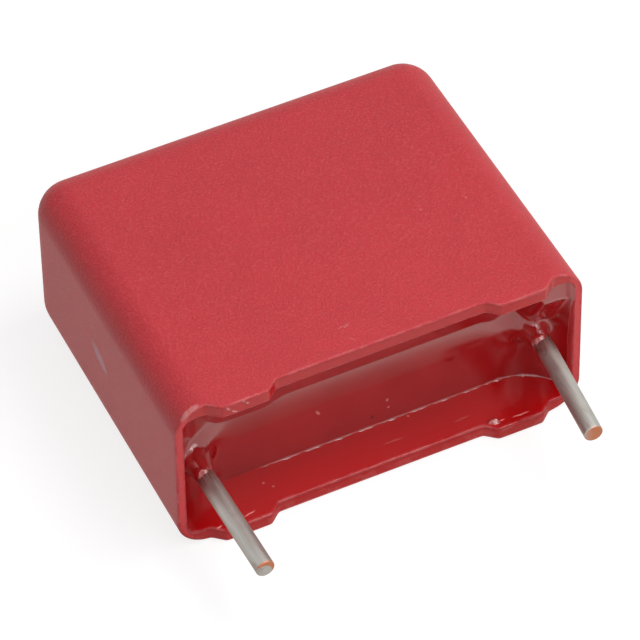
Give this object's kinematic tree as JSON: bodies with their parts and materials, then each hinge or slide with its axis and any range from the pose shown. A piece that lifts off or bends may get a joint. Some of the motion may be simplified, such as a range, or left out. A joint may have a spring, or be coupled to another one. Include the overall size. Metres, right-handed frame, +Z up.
{
  "type": "box film capacitor",
  "caption": "Boxed film capacitor: drafted red moulded case with stand-off feet, open end potted in resin, and radial wire leads.",
  "frame": {"origin": "centre of the bounding box's base, on the surface that the capacitor lies on", "axes": "+X along the lead pitch, +Y from the lead tips towards the case's closed end, +Z up through the case's thickness"},
  "size_m": [0.018, 0.0194, 0.008],
  "materials": {
    "case_plastic": "fine matte moulded polyester, red",
    "potting_resin": "glossy cast epoxy, dark red",
    "metallised_film": "smooth metallised film",
    "sprayed_zinc": "rough flame-sprayed zinc",
    "tinned_wire": "dull drawn tin plating over copper"
  },
  "bodies": {
    "root": {"case": "case_plastic", "potting": "potting_resin", "winding": "metallised_film", "end_spray_left": "sprayed_zinc", "end_spray_right": "sprayed_zinc", "lead_left": "tinned_wire", "lead_right": "tinned_wire"}
  },
  "joints": []
}
